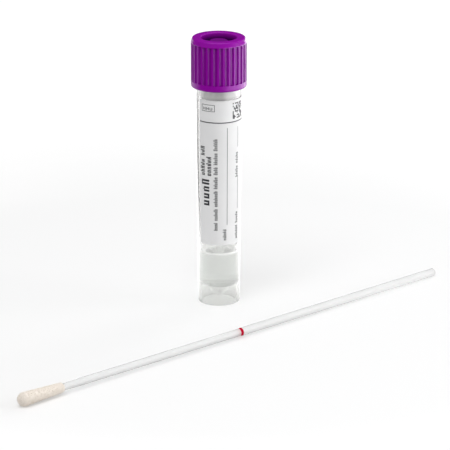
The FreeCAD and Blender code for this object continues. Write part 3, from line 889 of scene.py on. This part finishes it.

# %% [markdown]
# ## The table, the light and the camera
#
# The table is a white sheet. Away from the object to the left and front it is a darker grey
# for the light that bounces off it, which is painted shade on the object's left and front.
# A sheet lit at a plain level is light grey, so it also glows a little for the camera and
# for what shows through clear parts, and more where it is the darker grey, while shadows on
# it stay. Mirrored rays are shown something else: a dark sheet with a few bright places, which
# draw the highlights on the cap and the tube. A real table would show all of them the same.
# Three soft lamps stand round the object: a large one above, a tall one to the right that
# models the round pieces, and one behind them that lights their edges.

# %% Table
def white_table():
    material, tree, out = new_material("white_table_sheet")
    across = add_node(tree, "ShaderNodeVectorMath", {"operation": "DOT_PRODUCT"},
                      i0=object_coordinates(tree), i1=(0.87, 0.42, 0))
    side = add_node(tree, "ShaderNodeMapRange", {"interpolation_type": "SMOOTHSTEP"},
                    Value=across.outputs["Value"], From_Min=-0.15, From_Max=0.05)
    away = add_node(tree, "ShaderNodeVectorMath", {"operation": "LENGTH"},
                    i0=object_coordinates(tree))
    near = add_node(tree, "ShaderNodeMapRange", {"interpolation_type": "SMOOTHSTEP"},
                    Value=away.outputs["Value"], From_Min=0.16, From_Max=0.09)
    bright = add_node(tree, "ShaderNodeMath", {"operation": "MAXIMUM"},
                      i0=side.outputs[0], i1=near.outputs[0])
    # painted shade: away from the object to the left and front the sheet is #707070, so less
    # light bounces up onto the object's left and front
    sheet = add_node(tree, "ShaderNodeMix", {"data_type": "RGBA"}, i0=bright.outputs[0],
                     i6=linear("#707070"), i7=linear("#DADADA"))
    farther = add_node(tree, "ShaderNodeMapRange", Value=away.outputs["Value"],
                       From_Min=0.1, From_Max=0.25, To_Min=0.24, To_Max=0.42)
    # more glow where the sheet is the darker grey, so the camera still sees it white
    darker = add_node(tree, "ShaderNodeMath", {"operation": "MULTIPLY_ADD"},
                      i0=bright.outputs[0], i1=-0.6, i2=0.6)
    lift = add_node(tree, "ShaderNodeMath", {"operation": "ADD"}, i0=farther.outputs[0],
                    i1=darker.outputs[0])
    parts = add_node(tree, "ShaderNodeSeparateXYZ", Vector=object_coordinates(tree))
    at_right = add_node(tree, "ShaderNodeMapRange", {"interpolation_type": "SMOOTHSTEP"},
                        Value=parts.outputs["X"], From_Min=0.07, From_Max=0.2, To_Max=4.8)
    at_left = add_node(tree, "ShaderNodeMapRange", {"interpolation_type": "SMOOTHSTEP"},
                       Value=parts.outputs["X"], From_Min=-0.06, From_Max=-0.16,
                       To_Max=1.5)
    behind = add_node(tree, "ShaderNodeMapRange", {"interpolation_type": "SMOOTHSTEP"},
                      Value=parts.outputs["Y"], From_Min=-0.04, From_Max=0.04)
    back_left = add_node(tree, "ShaderNodeMath", {"operation": "MULTIPLY"},
                         i0=at_left.outputs[0], i1=behind.outputs[0])
    # two bright strips behind, close beside the object, edge it with light in its gloss
    beside = add_node(tree, "ShaderNodeMath", {"operation": "ABSOLUTE"},
                      i0=parts.outputs["X"])
    strips = add_node(tree, "ShaderNodeMapRange", Value=beside.outputs[0], From_Min=0.07,
                      From_Max=0.05, To_Max=2.3)
    close_by = add_node(tree, "ShaderNodeMath", {"operation": "MULTIPLY_ADD"},
                        i0=strips.outputs[0], i1=behind.outputs[0], i2=at_right.outputs[0])
    patches = add_node(tree, "ShaderNodeMath", {"operation": "ADD"},
                       i0=close_by.outputs[0], i1=back_left.outputs[0])
    path = add_node(tree, "ShaderNodeLightPath")
    # a ray bent by clear plastic counts as glossy too, so a mirrored one is both of these
    mirrored = add_node(tree, "ShaderNodeMath", {"operation": "MULTIPLY"},
                        i0=path.outputs["Is Glossy Ray"],
                        i1=path.outputs["Is Reflection Ray"])
    # gloss shows the sheet as a dim one, so that deep colours on the object stay deep
    dim = add_node(tree, "ShaderNodeMix", {"data_type": "RGBA"},
                   i0=mirrored.outputs[0], i6=sheet.outputs[2], i7=linear("#262626"))
    lit = add_node(tree, "ShaderNodeBsdfDiffuse", Color=dim.outputs[2])
    seen = add_node(tree, "ShaderNodeMath", {"operation": "ADD", "use_clamp": True},
                    i0=path.outputs["Is Camera Ray"], i1=path.outputs["Is Transmission Ray"])
    white = add_node(tree, "ShaderNodeMath", {"operation": "MULTIPLY"},
                     i0=seen.outputs[0], i1=lift.outputs[0])
    glow = add_node(tree, "ShaderNodeMath", {"operation": "MULTIPLY_ADD"},
                    i0=mirrored.outputs[0], i1=patches.outputs[0], i2=white.outputs[0])
    shine = add_node(tree, "ShaderNodeEmission", Strength=glow.outputs[0])
    both = add_node(tree, "ShaderNodeAddShader", i0=lit.outputs[0], i1=shine.outputs[0])
    tree.links.new(both.outputs[0], out.inputs["Surface"])
    return material


table_mesh = bpy.data.meshes.new("table")
half_side = 3.0
# a hair lower than the object, so that the two never share a face
TABLE_DROP = 0.02 * MM
table_mesh.from_pydata(
    [(x, y, -TABLE_DROP) for x, y in ((-half_side, -half_side), (half_side, -half_side),
                                     (half_side, half_side), (-half_side, half_side))],
    [], [(0, 1, 2, 3)])
table = bpy.data.objects.new("table", table_mesh)
bpy.context.scene.collection.objects.link(table)
table_mesh.materials.append(white_table())
print("table:", 2 * half_side, "m square")

# %% World
def studio_world():
    """White behind everything, a pale room for the light, and for gloss a dim room that is
    brighter at the right and has a bright box overhead."""
    world = bpy.data.worlds.new("white_studio")
    world.use_nodes = True
    sky = world.node_tree
    sky.nodes.clear()
    direction = add_node(sky, "ShaderNodeTexCoord").outputs["Generated"]
    path = add_node(sky, "ShaderNodeLightPath")
    to_right = add_node(sky, "ShaderNodeSeparateXYZ", Vector=direction)
    gloss = add_node(sky, "ShaderNodeMapRange", {"interpolation_type": "SMOOTHSTEP"},
                     Value=to_right.outputs["X"], From_Min=0.3, From_Max=0.8,
                     To_Min=0.03, To_Max=0.4)
    to_box = add_node(sky, "ShaderNodeVectorMath", {"operation": "DOT_PRODUCT"},
                      i0=direction, i1=(0, 0.05, 1))
    box = add_node(sky, "ShaderNodeMapRange", {"interpolation_type": "SMOOTHSTEP"},
                   Value=to_box.outputs["Value"], From_Min=0.8, From_Max=0.95, To_Max=2.2)
    mirror = add_node(sky, "ShaderNodeMath", {"operation": "ADD"}, i0=gloss.outputs[0],
                      i1=box.outputs[0])
    light = add_node(sky, "ShaderNodeMix", i0=path.outputs["Is Glossy Ray"], i2=0.65,
                     i3=mirror.outputs[0])
    seen = add_node(sky, "ShaderNodeMath", {"operation": "ADD", "use_clamp": True},
                    i0=path.outputs["Is Camera Ray"], i1=path.outputs["Is Transmission Ray"])
    strength = add_node(sky, "ShaderNodeMix", i0=seen.outputs[0], i2=light.outputs[0],
                        i3=1.0)
    shine = add_node(sky, "ShaderNodeBackground", Strength=strength.outputs[0])
    add_node(sky, "ShaderNodeOutputWorld", Surface=shine.outputs[0])
    return world


bpy.context.scene.world = studio_world()
print("world:", bpy.context.scene.world.name)


# %% Lamps
def soft_lamp(name, place, aim, size, share):
    """A soft lamp whose light on a white sheet that faces it is share of full white."""
    lamp = bpy.data.lights.new(name, "AREA")
    lamp.shape = "RECTANGLE"
    lamp.size, lamp.size_y = size
    place, aim = Vector(place), Vector(aim)
    lamp.energy = share * math.pi ** 2 * (place - aim).length ** 2
    holder = bpy.data.objects.new(name, lamp)
    bpy.context.scene.collection.objects.link(holder)
    holder.location = place
    holder.rotation_euler = (aim - place).to_track_quat("-Z", "Y").to_euler()
    holder.visible_camera = False
    holder.visible_glossy = False
    print(name, "at", [round(c, 2) for c in place], "with", round(lamp.energy, 2), "W")
    return holder


def round_the_object(azimuth, elevation, distance, height=0.035):
    """A place round the tube. Azimuth 0 is in front of it, 90 is at its right."""
    turn, rise = math.radians(azimuth), math.radians(elevation)
    return (distance * math.sin(turn) * math.cos(rise),
            -distance * math.cos(turn) * math.cos(rise),
            height + distance * math.sin(rise))


MIDDLE = (0, 0, 0.035)
soft_lamp("overhead_lamp", round_the_object(-20, 62, 0.9), MIDDLE, (0.45, 0.45), 0.44)
soft_lamp("right_lamp", round_the_object(85, 5, 0.7), MIDDLE, (0.4, 0.6), 0.69)
soft_lamp("back_lamp", round_the_object(140, 25, 0.8), MIDDLE, (0.3, 0.3), 0.2)

# %% Camera
camera_data = bpy.data.cameras.new("camera")
camera_data.sensor_width = 36
camera_data.lens = 268.5
camera_data.clip_start, camera_data.clip_end = 0.05, 20
camera = bpy.data.objects.new("camera", camera_data)
bpy.context.scene.collection.objects.link(camera)
camera.location = (1.664 * MM, -869.68 * MM, 294.71 * MM)
camera.rotation_euler = (math.radians(90 - 17.45), 0, 0)
bpy.context.scene.camera = camera
print("camera looks down", round(90 - math.degrees(camera.rotation_euler.x), 2), "degrees")

# %% Finish
bpy.context.scene.view_settings.view_transform = "Standard"
